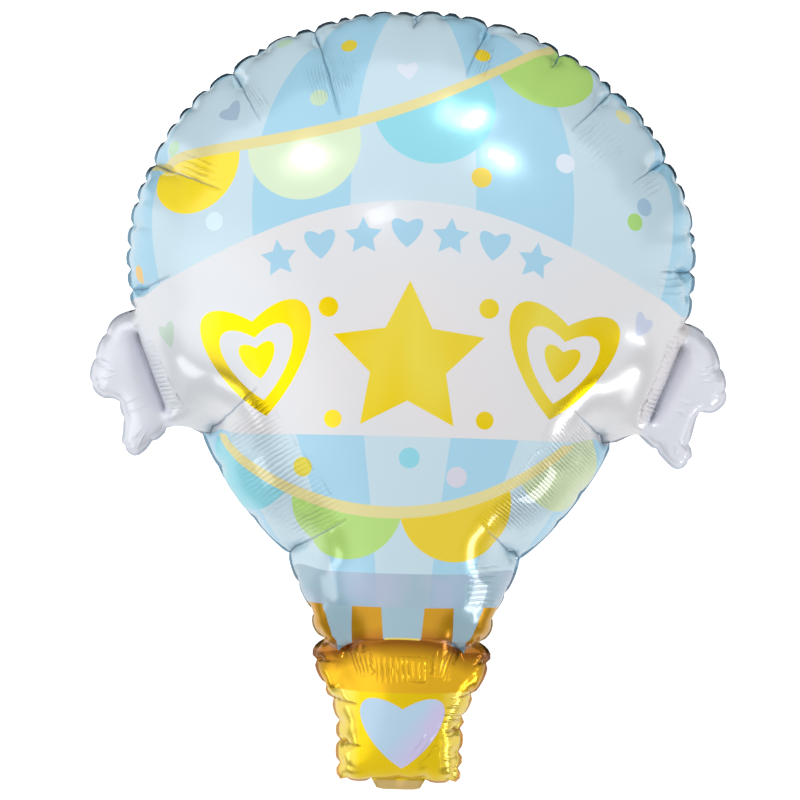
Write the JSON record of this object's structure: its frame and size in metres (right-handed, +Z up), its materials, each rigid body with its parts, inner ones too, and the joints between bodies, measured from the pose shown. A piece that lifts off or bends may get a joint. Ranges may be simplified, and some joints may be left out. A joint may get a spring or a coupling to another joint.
{
  "type": "foil balloon",
  "caption": "Inflated foil balloon in the form of a hot air balloon, with a swallow-tailed banner across it and a basket below, lying face up.",
  "frame": {"origin": "on the floor, below the middle of the outline's bounding box", "axes": "+Z up, out of the printed front; +Y from the basket to the crown; +X to the right of a person who looks at the front"},
  "size_m": [0.7274, 0.887, 0.3516],
  "materials": {
    "printed_foil": "glossy metallised film, printed in pale blue stripes, pearl white and gold"
  },
  "bodies": {
    "root": {"foil_balloon": "printed_foil"}
  },
  "joints": []
}
